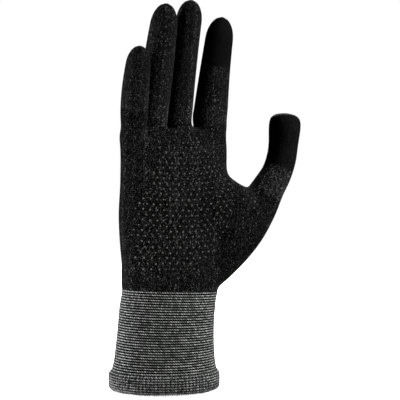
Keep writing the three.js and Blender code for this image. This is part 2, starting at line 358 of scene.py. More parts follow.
def joined_and_remeshed(parts):
    """One mesh of equal quads over the union of closed tubes."""
    verts, faces, base = [], [], 0
    for part_verts, part_faces in parts:
        verts.append(part_verts)
        faces += moved_on(part_faces, base)
        base += len(part_verts)
    mesh = bpy.data.meshes.new("skin_source")
    mesh.from_pydata(np.vstack(verts).tolist(), [], faces)
    obj = in_scene("skin_source", mesh)
    remesh = obj.modifiers.new("remesh", "REMESH")
    remesh.mode = "VOXEL"
    remesh.voxel_size = VOXEL
    evaluated = obj.evaluated_get(bpy.context.evaluated_depsgraph_get())
    result = evaluated.to_mesh()
    co = np.empty(len(result.vertices) * 3, np.float32)
    result.vertices.foreach_get("co", co)
    polygons = [tuple(p.vertices) for p in result.polygons]
    evaluated.to_mesh_clear()
    bpy.data.objects.remove(obj)
    bpy.data.meshes.remove(mesh)
    return co.reshape(-1, 3).astype(float), polygons


def edges_of(faces):
    pairs = set()
    for face in faces:
        for a, b in zip(face, face[1:] + face[:1]):
            pairs.add((a, b) if a < b else (b, a))
    return np.array(sorted(pairs))


def neighbour_mean(co, edges, count):
    a, b = edges.T
    total = [np.bincount(a, co[b, k], len(co)) + np.bincount(b, co[a, k], len(co)) for k in range(3)]
    return np.stack(total, -1) / count


def relax(co, edges, weight, rounds, push=0.0):
    """Smoothing by neighbours, with a push back after each round where the girth is to be kept."""
    count = np.bincount(edges.ravel(), minlength=len(co)).astype(float)[:, None]
    weight = weight[:, None]
    for _ in range(rounds):
        co = co + 0.5 * weight * (neighbour_mean(co, edges, count) - co)
        if push:
            co = co - push * weight * (neighbour_mean(co, edges, count) - co)
    return co


LIMBS = list(FINGERS) + ["thumb"]


def nearest_along(co, name):
    """For each point, how far along a limb's centre line it is and how far from that line."""
    if name == "thumb":
        along = np.arange(0, THUMB_LENGTH, 1.0)
        centre, tangent, _, _ = thumb_frame(along)
    else:
        finger = FINGERS[name]
        along = np.arange(-6, finger["length"], 1.0)
        centre, tangent, _, _ = finger_frame(finger, along)
    best = np.full(len(co), np.inf)
    where = np.zeros(len(co), int)
    for k, point in enumerate(centre):
        distance = np.linalg.norm(co - point, axis=1)
        closer = distance < best
        best[closer], where[closer] = distance[closer], k
    offset = np.einsum("ij,ij->i", co - centre[where], tangent[where])
    return along[where] + offset, best


def finger_labels(co):
    """Which finger each point belongs to, judged while they are spread: -1 is hand or thumb."""
    _, reach = nearest_along(co, "thumb")
    label = np.full(len(co), -1)
    for k, name in enumerate(FINGERS):
        shifted = co.copy()
        shifted[:, 0] -= spread_at(name, co[:, 2])
        _, distance = nearest_along(shifted, name)
        inside = (co[:, 2] > SPREAD_FROM[name]) & (distance < reach)
        reach[inside], label[inside] = distance[inside], k
    return label


def outer_sides(co):
    """1 on the outer edges of the hand and 0 on its palm and back."""
    return smoothstep((np.abs(co[:, 0] - HAND_MIDDLE) - 26) / 8.0)


# The points round which the thumb's joins to the hand are smoothed.
THUMB_FOLD = (47.0, -8.0, 122.0)
THENAR = (30.0, -12.0, 86.0)
THUMB_CORNER = (46.0, -6.0, 141.0)


def near_point(co, point, reach):
    return around(np.linalg.norm(co - np.array(point), axis=1), reach)


def build_skin():
    """The whole skin: joined while the fingers are spread, smoothed, then closed up again."""
    parts = [finger_tube(name, finger) for name, finger in FINGERS.items()]
    co, faces = joined_and_remeshed([*parts, thumb_tube(), web_tube(), body_tube()])
    edges = edges_of(faces)
    label = finger_labels(co)
    co = relax(co, edges, np.ones(len(co)), 6, 0.47)
    web_height = np.interp(co[:, 0], (-20, -4, 4, 40), (167, 171, 174, 174))
    crotch = around(co[:, 2] - web_height - 0.5, 4.0) * (np.abs(co[:, 1]) < 14)
    thumb_joins = near_point(co, THUMB_FOLD, 20.0) + near_point(co, THENAR, 24.0)
    thumb_corner = near_point(co, THUMB_CORNER, 12.0)
    knuckles = around(co[:, 2] - KNUCKLES, 9.0) * (1 - outer_sides(co))
    co = relax(co, edges, np.clip(crotch + thumb_joins, 0, 1), 40)
    co = relax(co, edges, knuckles, 50)
    co = relax(co, edges, thumb_corner, 150)
    for k, name in enumerate(FINGERS):
        mine = label == k
        co[mine, 0] -= spread_at(name, co[mine, 2])
    co = relax(co, edges, crotch * 0.6, 6)
    co = relax(co, edges, around(co[:, 2] - KNUCKLES, 12.0) * outer_sides(co), 80)
    return co, faces, label


skin_co, skin_faces, skin_label = build_skin()


# Where the courses turn to follow the thumb: start and length of the change, along the thumb and
# across the hand, and the height at which the thumb's own distances start.
THUMB_KNIT_ALONG = (30, 40)
THUMB_KNIT_ACROSS = (40, 16)
THUMB_KNIT_HEIGHT = 60.5
SOLVER_ROUNDS = 500


def vertex_normals(co, faces):
    quads = np.array([f if len(f) == 4 else (*f, f[-1]) for f in faces])
    flat = np.cross(co[quads[:, 2]] - co[quads[:, 0]], co[quads[:, 3]] - co[quads[:, 1]])
    total = np.zeros_like(co)
    for k in range(4):
        np.add.at(total, quads[:, k], flat)
    return unit(total + 1e-12)


def knit_field(co, faces):
    """Knit coordinates on the whole skin: u follows the courses and v the wales.

    v is the height, bent to follow the thumb. u has an even slope along the courses, as nearly as
    the shape allows, and the back of the glove mirrors the palm side.
    """
    normal = vertex_normals(co, faces)
    edges = edges_of(faces)
    along, _ = nearest_along(co, "thumb")
    (low, over), (side, wide) = THUMB_KNIT_ALONG, THUMB_KNIT_ACROSS
    on_thumb = smoothstep((along - low) / over) * smoothstep((co[:, 0] - side) / wide)
    on_thumb = np.where(skin_label >= 0, 0, on_thumb)
    v = co[:, 2] * (1 - on_thumb) + (along + THUMB_KNIT_HEIGHT) * on_thumb
    _, tangent, deep, _ = thumb_frame(along)
    up = unit(UP * (1 - on_thumb[:, None]) + tangent * on_thumb[:, None])
    front = unit(PALMWARD * (1 - on_thumb[:, None]) + deep * on_thumb[:, None])
    course = unit(np.cross(up, normal) + 1e-9)
    course *= np.sign(np.einsum("ij,ij->i", normal, front) + 1e-9)[:, None]
    a, b = edges.T
    step = np.einsum("ij,ij->i", co[b] - co[a], (course[a] + course[b]) / 2)
    count = len(co)

    def laplacian(f):
        slope = f[b] - f[a]
        return np.bincount(b, slope, count) - np.bincount(a, slope, count)

    u = co[:, 0].copy()
    rest = np.bincount(b, step, count) - np.bincount(a, step, count) - laplacian(u)
    way, size = rest.copy(), rest @ rest
    for _ in range(SOLVER_ROUNDS):
        turned_way = laplacian(way)
        share = size / (way @ turned_way)
        u += share * way
        rest -= share * turned_way
        new_size = rest @ rest
        way = rest + new_size / size * way
        size = new_size
    return u, v


skin_u, skin_v = knit_field(skin_co, skin_faces)


# -------------------- cutting the skin

def thumb_hinge_alongs():
    """Where the thumb's two hinges lie along its centre line."""
    joints = {j["name"]: j for j in record["behaviour"]["joints"]}
    found = []
    for name in ("thumb_root_bend", "thumb_tip_bend"):
        along, _ = nearest_along(np.array([joints[name]["pos_m"]]) / MM, "thumb")
        found.append(float(along[0]))
    return found


thumb_hinges = thumb_hinge_alongs()


def limb_frame(name, along):
    frames = thumb_frame(along) if name == "thumb" else finger_frame(FINGERS[name], along)
    return [part[0] for part in frames]


def limb_cuts(name):
    """Distances along a limb where the skin is cut."""
    if name == "thumb":
        return [thumb_hinges[0] - THUMB_ZONES[0], thumb_hinges[1] - THUMB_YARN_CHANGE]
    finger = FINGERS[name]
    (a, b, c), (za, zb, zc) = finger["hinges"], finger["zones"]
    first = a - za
    if name == "index":
        return [first, (a + za + b - zb) / 2, INDEX_YARN_CHANGE]
    return [first, (a + za + b - zb) / 2, (b + zb + c - zc) / 2]


# How far from a limb's centre line, for a finger and for the thumb, and how far to either side of
# the cutting plane, faces are cut.
CUT_REACH = (17.0, 22.0)
CUT_SLAB = 3


def cut_at(bm, geom, place, way):
    """Cuts along a plane and gives the edges in it."""
    cut = bmesh.ops.bisect_plane(bm, geom=geom, dist=1e-4, plane_co=Vector(place), plane_no=Vector(way))
    return {e for e in cut["geom_cut"] if isinstance(e, bmesh.types.BMEdge)}


def cut_skin():
    """The skin as a bmesh, cut where the pieces meet, and the edges in the cuts."""
    bm = bmesh.new()
    label_layer = bm.verts.layers.int.new("label")
    u_layer = bm.verts.layers.float.new("u")
    v_layer = bm.verts.layers.float.new("v")
    for point in skin_co:
        bm.verts.new(point)
    bm.verts.ensure_lookup_table()
    for face in skin_faces:
        bm.faces.new([bm.verts[i] for i in face])
    for vert, value, u, v in zip(bm.verts, skin_label, skin_u, skin_v):
        vert[label_layer] = int(value)
        vert[u_layer], vert[v_layer] = u, v
    barrier = set()
    for k, name in enumerate(LIMBS):
        for along in limb_cuts(name):
            centre, tangent, _, _ = limb_frame(name, along)
            near = []
            for face in bm.faces:
                offset = np.array(face.calc_center_median()) - centre
                if np.linalg.norm(offset) > CUT_REACH[name == "thumb"] or abs(offset @ tangent) > CUT_SLAB:
                    continue
                if name == "thumb" or face.verts[0][label_layer] == k:
                    near.append(face)
            geom = near + list({e for f in near for e in f.edges}) + list({v for f in near for v in f.verts})
            barrier |= cut_at(bm, geom, centre, tangent)
    every = bm.verts[:] + bm.edges[:] + bm.faces[:]
    barrier |= cut_at(bm, every, (CUFF_MIDDLE, 0, CUFF_TOP), (CUFF_LEAN, 0.0, 1.0))
    bm.normal_update()
    return bm, barrier


def flood(bm, barrier, seed_point):
    """The faces joined to the one nearest a point without crossing a cut."""
    start = min(bm.faces, key=lambda f: (f.calc_center_median() - Vector(seed_point)).length)
    found, queue = {start}, [start]
    while queue:
        face = queue.pop()
        for edge in face.edges:
            if edge in barrier:
                continue
            for other in edge.link_faces:
                if other not in found:
                    found.add(other)
                    queue.append(other)
    return found


def make_object(name, co, faces, corner_normals=None, **attributes):
    """A mesh object in metres, with its rest place and other point attributes kept on it."""
    mesh = bpy.data.meshes.new(name)
    mesh.from_pydata((co * MM).tolist(), [], faces)
    mesh.polygons.foreach_set("use_smooth", np.ones(len(mesh.polygons), bool))
    for key, values in {"rest": co, **attributes}.items():
        kind, field = ("FLOAT_VECTOR", "vector") if values.ndim == 2 else ("FLOAT", "value")
        layer = mesh.attributes.new(key, kind, "POINT")
        layer.data.foreach_set(field, values.astype(np.float32).ravel())
    if corner_normals is not None:
        mesh.normals_split_custom_set(corner_normals)
    return in_scene(name, mesh)


def thick_piece(name, co, normals, faces, uv, wall=WALL):
    """A closed fabric wall: the outer face, an inner face below it and rims round its edges."""
    count = len(co)
    inner = co - normals * wall
    directed = {(a, b) for face in faces for a, b in zip(face, face[1:] + face[:1])}
    rims = [(b, a, a + count, b + count) for a, b in directed if (b, a) not in directed]
    back = [tuple(v + count for v in reversed(face)) for face in faces]
    corner = [normals[v] for face in faces for v in face]
    corner += [-normals[v - count] for face in back for v in face]
    every = np.vstack([co, inner])
    for rim in rims:
        flat = np.cross(every[rim[1]] - every[rim[0]], every[rim[3]] - every[rim[0]])
        corner += [flat / max(np.linalg.norm(flat), 1e-9)] * 4
    knit = np.zeros((2 * count, 3))
    knit[:count, 0], knit[:count, 1] = uv
    knit[count:] = knit[:count]
    return make_object(name, every, list(faces) + back + rims, np.array(corner), knit=knit)


def piece_from(name, bm_faces):
    """A piece of fabric with its wall, from some of the skin's faces."""
    layers = bm_skin.verts.layers.float
    verts = sorted({v for f in bm_faces for v in f.verts}, key=lambda v: v.index)
    index = {v: i for i, v in enumerate(verts)}
    co = np.array([v.co for v in verts])
    normals = np.array([v.normal for v in verts])
    faces = [tuple(index[v] for v in f.verts) for f in sorted(bm_faces, key=lambda f: f.index)]
    uv = [np.array([v[layers[key]] for v in verts]) for key in "uv"]
    return thick_piece(name, co, normals, faces, uv)


bm_skin, cut_edges = cut_skin()
bm_skin.verts.index_update()
bm_skin.faces.index_update()
skin_pieces = {}
# How far in front of the centre line a finger's and the thumb's skin is.
SEED_DEPTH = (9.0, 10.0)


def take(name, seed_point):
    """Keeps the part of the skin round a point as a piece."""
    skin_pieces[name] = piece_from(name, flood(bm_skin, cut_edges, seed_point))


def seed_on(name, along):
    """A point on the palm side of a limb."""
    centre, _, deep, _ = limb_frame(name, along)
    return centre + deep * SEED_DEPTH[name == "thumb"]


for limb in LIMBS:
    cuts = limb_cuts(limb)
    end = THUMB_LENGTH if limb == "thumb" else FINGERS[limb]["length"]
    stops = [*cuts, end]
    names = {
        "thumb": ["thumb_tube", "thumb_touch_cap"],
        "index": ["index_tube_base", "index_tube_middle", "index_touch_cap"],
    }.get(limb, [f"{limb}_tube_base", f"{limb}_tube_middle", f"{limb}_tube_tip"])
    for piece_name, low, high in zip(names, stops, stops[1:]):
        take(piece_name, seed_on(limb, (low + high) / 2))

take("hand_tube", (5.0, -18.0, 110.0))
bm_skin.free()


# -------------------- materials

def new_material(name):
    material = bpy.data.materials.new(name)
    material.use_nodes = True
    return material, Graph(material.node_tree)


class Graph:
    """Short calls for building a node tree."""

    def __init__(self, tree):
        self.tree = tree
        self.shader = tree.nodes["Principled BSDF"]

    def node(self, kind, **settings):
        made = self.tree.nodes.new(kind)
        for key, value in settings.items():
            setattr(made, key, value)
        return made

    def feed(self, socket, value):
        if isinstance(value, bpy.types.NodeSocket):
            self.tree.links.new(value, socket)
        else:
            socket.default_value = value

    def math(self, operation, a, b=0.0):
        made = self.node("ShaderNodeMath", operation=operation)
        for socket, value in zip(made.inputs, (a, b)):
            self.feed(socket, value)
        return made.outputs[0]

    def add(self, a, b):
        return self.math("ADD", a, b)

    def minus(self, a, b):
        return self.math("SUBTRACT", a, b)

    def times(self, a, b):
        return self.math("MULTIPLY", a, b)

    def over(self, a, b):
        return self.math("DIVIDE", a, b)

    def floor(self, a):
        return self.math("FLOOR", a)

    def clamp(self, a):
        return self.math("MINIMUM", self.math("MAXIMUM", a, 0.0), 1.0)

    def attribute(self, name, output="Vector"):
        return self.node("ShaderNodeAttribute", attribute_name=name).outputs[output]

    def split(self, vector):
        made = self.node("ShaderNodeSeparateXYZ")
        self.feed(made.inputs[0], vector)
        return made.outputs

    def join(self, x, y, z=0.0):
        made = self.node("ShaderNodeCombineXYZ")
        for socket, value in zip(made.inputs, (x, y, z)):
            self.feed(socket, value)
        return made.outputs[0]

    def noise(self, vector, scale, detail=2.0, rough=0.5):
        made = self.node("ShaderNodeTexNoise")
        self.feed(made.inputs["Vector"], vector)
        self.feed(made.inputs["Scale"], scale)
        self.feed(made.inputs["Detail"], detail)
        self.feed(made.inputs["Roughness"], rough)
        return made.outputs["Fac"]

    def white(self, vector):
        made = self.node("ShaderNodeTexWhiteNoise", noise_dimensions="3D")
        self.feed(made.inputs["Vector"], vector)
        return made.outputs["Value"]

    def ramp(self, value, stops):
        made = self.node("ShaderNodeValToRGB")
        ramp = made.color_ramp
        while len(ramp.elements) < len(stops):
            ramp.elements.new(0.5)
        for element, (at, grey) in zip(ramp.elements, stops):
            element.position = at
            element.color = (grey, grey, grey, 1)
        self.feed(made.inputs[0], value)
        return made.outputs[0]

    def tinted(self, colour, shade):
        """A colour times a grey."""
        made = self.node("ShaderNodeMix", data_type="RGBA", blend_type="MULTIPLY")
        made.inputs["Factor"].default_value = 1.0
        self.feed(made.inputs[6], colour)
        self.feed(made.inputs[7], self.join(shade, shade, shade))
        return made.outputs[2]

    def bump(self, height, distance, strength=1.0):
        made = self.node("ShaderNodeBump")
        self.feed(made.inputs["Height"], height)
        made.inputs["Distance"].default_value = distance
        made.inputs["Strength"].default_value = strength
        return made.outputs[0]

    def surface(self, colour, roughness, normal, specular=0.5, sheen=0.0):
        inputs = self.shader.inputs
        self.feed(inputs["Base Color"], colour)
        self.feed(inputs["Roughness"], roughness)
        self.feed(inputs["Normal"], normal)
        inputs["Specular IOR Level"].default_value = specular
        inputs["Sheen Weight"].default_value = sheen


# A stitch of jersey: how steeply its two legs slant, how far they are from its middle, and how
# quickly a leg falls away across and a strand along.
LEG_SLANT = 1.5
LEG_PLACE = 0.26
LEG_FALL = 3.6
STRAND_FALL = 3.4
# Columns and rows repeat from front to back and from limb to limb, so the place, in patches of
# this size, goes into each stitch's random number as well.
YARN_PATCH = 1.3
PATCH_STEP = 57.0
# Painted shade: the knit's colour is darker from the fingers' roots up, over this height, and by this share.
FINGER_START = 165
PAINTED_SHADE_OVER = 30.0
FINGER_PAINTED_SHADE = 0.55


def stitches(g, wale, course):
    """Height, a random number and the column of each stitch, from the knit attribute."""
    u, v, _ = g.split(g.attribute("knit"))
    across = g.over(u, wale)
    column = g.floor(across)
    inside = g.minus(g.math("FRACT", across), 0.5)
    off = g.math("ABSOLUTE", inside)
    rise = g.add(g.over(v, course), g.times(off, LEG_SLANT))
    row = g.floor(rise)
    along = g.minus(g.math("FRACT", rise), 0.5)
    leg = g.minus(1.0, g.times(g.math("ABSOLUTE", g.minus(off, LEG_PLACE)), LEG_FALL))
    strand = g.minus(1.0, g.times(g.times(along, along), STRAND_FALL))
    height = g.times(g.math("MAXIMUM", leg, 0.0), strand)
    side = g.math("SIGN", inside)
    places = [g.times(g.floor(g.over(value, YARN_PATCH)), PATCH_STEP)
              for value in g.split(g.attribute("rest"))]
    keys = [g.add(number, place) for number, place in zip((column, row, side), places)]
    return height, g.white(g.join(*keys)), column


def finger_painted_shade(g, rest):
    """A grey for painted shade: 1 on the hand, darker from the fingers' roots up."""
    _, _, high = g.split(rest)
    shade_rise = g.clamp(g.over(g.minus(high, FINGER_START), PAINTED_SHADE_OVER))
    return g.minus(1.0, g.times(shade_rise, FINGER_PAINTED_SHADE))


def melange_material(name, tones):
    """Jersey of dark yarn with lighter fibres spun in, at stitch size and finer."""
    material, g = new_material(name)
    height, chance, column = stitches(g, WALE, COURSE)
    rest = g.attribute("rest")
    fibre = g.noise(rest, 2.1, 3.0, 0.7)
    patch = g.noise(rest, 0.07, 2.0, 0.5)
    wale = g.white(g.join(column, column, column))
    drift = g.add(g.times(patch, 0.08), g.times(wale, 0.1))
    mixed = g.add(g.times(chance, 0.96), g.minus(drift, 0.07))
    tone = g.ramp(mixed, tones)
    # Painted shade: the colour is darker in the grooves between the stitch legs; the fibres vary it at
    # random.
    shade = g.add(0.3, g.times(height, 0.7))
    shade = g.times(shade, g.add(0.25, g.times(fibre, 1.5)))
    # Painted shade: darker from the fingers' roots up.
    shade = g.times(shade, finger_painted_shade(g, rest))
    colour = g.tinted(tone, shade)
    roughness = g.add(0.82, g.times(fibre, 0.1))
    lumps = g.add(g.times(height, 0.7), g.times(fibre, 0.5))
    g.surface(colour, roughness, g.bump(lumps, 0.0003, 0.9), specular=0.02, sheen=0.002)
    return material


def touch_material():
    """Smooth plain-knit conductive yarn: even black with a slight shine on each stitch."""
    material, g = new_material("touch_knit")
    height, chance, _ = stitches(g, TOUCH_WALE, TOUCH_COURSE)
    rest = g.attribute("rest")
    fibre = g.noise(rest, 2.4, 3.0, 0.6)
    wear = g.noise(rest, 0.12, 2.0, 0.5)
    mixed = g.add(g.times(chance, 0.7), g.times(fibre, 0.3))
    tone = g.ramp(mixed, [(0.1, 0.0001), (0.45, 0.0007), (0.7, 0.0026), (0.85, 0.007)])
    # Painted shade: the colour is darker from the fingers' roots up.
    colour = g.tinted(tone, finger_painted_shade(g, rest))
    roughness = g.add(0.62, g.times(wear, 0.2))
    lumps = g.add(g.times(height, 0.8), g.times(fibre, 0.2))
    g.surface(colour, roughness, g.bump(lumps, 0.00018, 0.8), specular=0.02, sheen=0.002)
    return material


def dot_material():
    """Printed silicone: pale grey, slightly clear, with a soft gloss and a little dirt."""
    material, g = new_material("grip_silicone")
    rest = g.attribute("rest")
    tone = g.attribute("tone", "Fac")
    dirt = g.noise(rest, 1.1, 3.0, 0.6)
    bright = g.times(tone, g.add(0.75, g.times(dirt, 0.5)))
    colour = g.ramp(bright, [(0.0, 0.004), (1.0, 0.12)])
    roughness = g.add(0.34, g.times(dirt, 0.25))
    g.surface(colour, roughness, g.bump(dirt, 0.00005, 0.5), specular=0.4)
    return material


body_knit = melange_material("body_knit", [(0.0, 0.0005), (0.3, 0.0022), (0.55, 0.0075), (0.8, 0.028),
                                           (0.95, 0.072), (1.0, 0.18)])
touch_knit = touch_material()
silicone = dot_material()

for piece_name, piece in skin_pieces.items():
    piece.data.materials.append(touch_knit if "touch" in piece_name else body_knit)


# -------------------- grip dots

DOT_RADIUS = 0.47
DOT_HEIGHT = 0.42
DOT_ROW_PITCH = 3.42
DOT_MIDDLE = 8.0
# The printed area: height, left and right ends of its rows.
DOT_AREA = [(79.5, -26, 13), (91, -25, 28.5), (103, -26, 38), (118, -26, 41.5),
            (131, -17, 41), (143, -13, 35.5), (155, -8, 27.5), (162, 5, 21.5)]

# The space between dots in a row, at two heights.
DOT_PITCH = ((80, 165), (4.65, 3.95))
# The rows bend up towards their ends: by how much on the thumb's side and on the other one, how
# far out, and the share of it at two heights.
DOT_BOW = (4.2, 1.6)
DOT_BOW_REACH = 33.0
DOT_BOW_SHARE = ((80, 95), (0.3, 1.0))
# How unevenly dots are placed and sized, and how bright they are.
DOT_JITTER = 0.16
DOT_UNEVEN = 0.09
DOT_TONE = (0.6, 0.25)
# The dots are darker towards the little finger and upwards, as measured by height less place across.
DOT_DULL = ((110, 170), (1.0, 0.55))


def dome(centre, normal, radius, height):
    """A low round dome standing on the fabric, closed underneath."""
    helper = UP if abs(normal[2]) < 0.9 else np.array([1.0, 0, 0])
    a = unit(np.cross(normal, helper))
    b = np.cross(normal, a)
    rows = [(1.0, -0.25), (1.0, 0.0), (0.86, 0.52), (0.5, 0.88)]
    sides = 9
    verts = []
    for share, lift in rows:
        for k in range(sides):
            angle = k * 2 * math.pi / sides
            verts.append(centre + radius * share * (a * math.cos(angle) + b * math.sin(angle))
                         + normal * height * lift)
    verts.append(centre + normal * height)
    *around_it, bottom, top = tube_faces(len(rows), sides)
    tips = [(here, there, len(verts) - 1) for here, there in zip(top, top[1:] + top[:1])]
    return verts, [*around_it, *tips, bottom]


def grip_dots():
    """All the dots as one mesh, each set on the palm where its row and place fall."""
    outer = skin_pieces["hand_tube"].data
    tree = BVHTree.FromPolygons([v.co / MM for v in outer.vertices],
                                [tuple(p.vertices) for p in outer.polygons])
    verts, faces, tones = [], [], []
    rows = int((DOT_AREA[-1][0] - DOT_AREA[0][0]) / DOT_ROW_PITCH) + 1
    area = np.array(DOT_AREA)
    for row in range(rows):
        height = DOT_AREA[0][0] + row * DOT_ROW_PITCH
        left, right = (np.interp(height, area[:, 0], area[:, k]) for k in (1, 2))
        pitch = np.interp(height, *DOT_PITCH)
        bow = np.interp(height, *DOT_BOW_SHARE)
        for k in range(-12, 13):
            x = DOT_MIDDLE + (k + 0.5 * (row % 2)) * pitch
            if not left <= x <= right:
                continue
            side = (x - DOT_MIDDLE) / DOT_BOW_REACH
            lift = DOT_BOW[0 if side > 0 else 1] * side**2 * bow
            jitter = RNG.normal(0, DOT_JITTER, 2)
            start = Vector((x + jitter[0], -80.0, height + lift + jitter[1]))
            hit, normal, _, _ = tree.ray_cast(start, Vector((0, 1, 0)))
            size = 1 + RNG.normal(0, DOT_UNEVEN)
            shaded = np.interp(height - x, *DOT_DULL)
            tone = float(np.clip(RNG.normal(*DOT_TONE) * shaded, 0.08, 1.0))
            if hit is None or normal.y > -0.2:
                continue
            normal = unit(np.array(normal))
            shape, shape_faces = dome(np.array(hit), normal, DOT_RADIUS * size, DOT_HEIGHT * size)
            base = len(verts)
            verts += shape
            faces += moved_on(shape_faces, base)
            tones += [tone] * len(shape)
    obj = make_object("grip_dots", np.array(verts), faces, tone=np.array(tones))
    obj.data.materials.append(silicone)
    return obj


dots = grip_dots()


# -------------------- cuff

STRIPE = 1.63
CUFF_TONES = [(0.0, 0.0004), (0.15, 0.002), (0.33, 0.024), (0.55, 0.135), (0.85, 0.45)]
HEM_TONES = [(0.1, 0.001), (0.28, 0.01), (0.42, 0.06), (0.7, 0.38)]
CUFF_SEGMENTS = 420
# Width of a stitch in the stripes; in the hem, width of a rib and of a fleck, and flecks up a stripe.
RIB_WALE = 1.3
RIB_WIDTH = 2.1
FLECK_WIDTH = 0.45
FLECKS_PER_STRIPE = 4.0
# How far the courses of the cuff hang down at the middle of its front.
CUFF_SAG = 1.7


def course_height(level, across, front):
    """A course's true height: the courses sag in front and lean a little across the cuff."""
    lean = CUFF_LEAN * smoothstep((level - 10) / 50)
    sag = CUFF_SAG * (1 - level / CUFF_TOP) * front**2
    return level - lean * (across - CUFF_MIDDLE) - sag


def cuff_surface(levels, angle, outward):
    """Points at levels and angles round the cuff, moved out from its form."""
    points = body_ring(levels[:, None], angle[None, :], outward)
    front = np.clip(np.cos(angle)[None, :], 0, 1)
    points[..., 2] = course_height(levels[:, None], points[..., 0], front)
    return points


def tube_between(outer, inner):
    """A closed tube from a grid of outer points and one of inner points, rim to rim."""
    rows_out, sides = outer.shape[:2]
    rows_in = inner.shape[0]
    verts = np.vstack([outer.reshape(-1, 3), inner.reshape(-1, 3)])
    loop = [row * sides for row in range(rows_out)]
    loop += [(rows_out + row) * sides for row in range(rows_in)]
    faces = []
    for here, there in zip(loop, loop[1:] + loop[:1]):
        for k in range(sides):
            n = (k + 1) % sides
            faces.append((here + k, here + n, there + n, there + k))
    return verts, faces


def cuff_knit(levels, angle, outer):
    """Where each point is in the cuff's knit: round it and up it."""
    girth = np.linalg.norm(np.diff(outer[len(levels) // 2], axis=0), axis=1).sum()
    u = np.broadcast_to(angle[None, :] / (2 * math.pi) * girth, (len(levels), len(angle)))
    v = np.broadcast_to(levels[:, None], u.shape)
    return np.stack([u, v, np.zeros_like(u)], -1).reshape(-1, 3)


def knit_tube(name, low, high, bulge, ridge, wall, rows_per_course=4):
    """A length of cuff whose courses stand out as rounded rows."""
    step = STRIPE / 2 / rows_per_course
    between = np.arange(math.ceil(low / step + 0.2), high / step - 0.2) * step
    levels = np.concatenate([[low], between, [high]])
    angle = np.arange(CUFF_SEGMENTS) * 2 * math.pi / CUFF_SEGMENTS
    wave = -np.cos((levels / STRIPE) * 4 * math.pi)
    out = bulge(levels) + ridge * wave
    outer = cuff_surface(levels, angle, out[:, None])
    inner_levels = np.linspace(high, low, 8)
    inner = cuff_surface(inner_levels, angle, (bulge(inner_levels) - wall)[:, None])
    verts, faces = tube_between(outer, inner)
    knit = np.vstack([cuff_knit(levels, angle, outer), cuff_knit(inner_levels, angle, inner)])
    return make_object(name, verts, faces, knit=knit)


def stripe_material(name, tones, rib):
    """Courses of black and grey yarn in turn, each grey loop a short slanted stroke."""
    material, g = new_material(name)
    u, v, _ = g.split(g.attribute("knit"))
    rest = g.attribute("rest")
    across = g.over(u, RIB_WALE)
    column = g.floor(across)
    inside = g.minus(g.math("FRACT", across), 0.5)
    wobble = g.minus(g.noise(rest, 0.3, 2.0, 0.5), 0.5)
    phase = g.add(g.over(v, STRIPE), g.times(inside, 0.26))
    phase = g.add(phase, g.times(wobble, 0.12))
    row = g.floor(g.add(phase, 0.25))
    swing = g.math("SINE", g.times(phase, 2 * math.pi))
    stroke = g.minus(g.times(swing, 1.25), 0.02)
    stroke = g.clamp(stroke)
    chance = g.white(g.join(column, row))
    fibre = g.noise(rest, 2.8, 3.0, 0.7)
    lively = g.add(g.times(chance, 0.32), g.times(fibre, 0.95))
    loop = g.minus(1.0, g.times(g.times(inside, inside), 1.3))
    grey = g.times(g.times(stroke, lively), loop)
    if rib:
        ribs = g.math("SINE", g.times(u, 2 * math.pi / RIB_WIDTH))
        cell = g.join(g.floor(g.over(u, FLECK_WIDTH)), g.floor(g.times(phase, FLECKS_PER_STRIPE)))
        fleck = g.add(g.times(g.white(cell), 0.7), g.times(ribs, 0.12))
        grey = g.add(g.times(grey, 0.5), g.times(fleck, 0.5))
        seam = g.math("GREATER_THAN", v, HEM_TOP - 0.2)
        grey = g.times(grey, g.minus(1.0, seam))
    roughness = g.add(0.8, g.times(fibre, 0.12))
    g.surface(g.ramp(grey, tones), roughness, g.bump(fibre, 0.00025, 0.8), specular=0.03, sheen=0.012)
    return material


sleeve = knit_tube("striped_sleeve", HEM_TOP - 1.2, CUFF_TOP, lambda z: np.zeros_like(z), 0.13, WALL)
sleeve.data.materials.append(stripe_material("cuff_stripes", CUFF_TONES, False))


# The hem's profile: where it starts under the sleeve, its step outwards, its roundness and how
# far its lower edge is drawn in.
HEM_START = -0.4
HEM_STEP = 1.9
HEM_ROUND = 0.35
HEM_TUCK = 0.9


def hem_bulge(z):
    """How far the double hem stands out beyond the sleeve."""
    rise = smoothstep((HEM_TOP + 1.4 - z) / 5.0)
    tuck = smoothstep((3.0 - z) / 3.0)
    round_out = HEM_ROUND * np.sin(np.clip(z / HEM_TOP, 0, 1) * math.pi)
    return HEM_START + HEM_STEP * rise + round_out - HEM_TUCK * tuck


hem = knit_tube("folded_hem", 1.2, HEM_TOP + 1.2, hem_bulge, 0.09, 2.9)
hem.data.materials.append(stripe_material("hem_knit", HEM_TONES, True))


# -------------------- overlocked edge

LOOPS = 150
THREAD_RADIUS = 0.42
# A loop's path over the edge, as shares of its length: the height there, how far out it is, and
# how far it runs round the cuff.
LOOP_HEIGHTS = ((0, 0.45, 0.55, 1), (2.6, 0.55, 0.55, 2.6))
LOOP_OUT = ((0, 0.3, 0.7, 1), (1.35, 1.0, -1.3, -1.7))
LOOP_SLANT = 0.028
LOOP_UNEVEN = 0.1


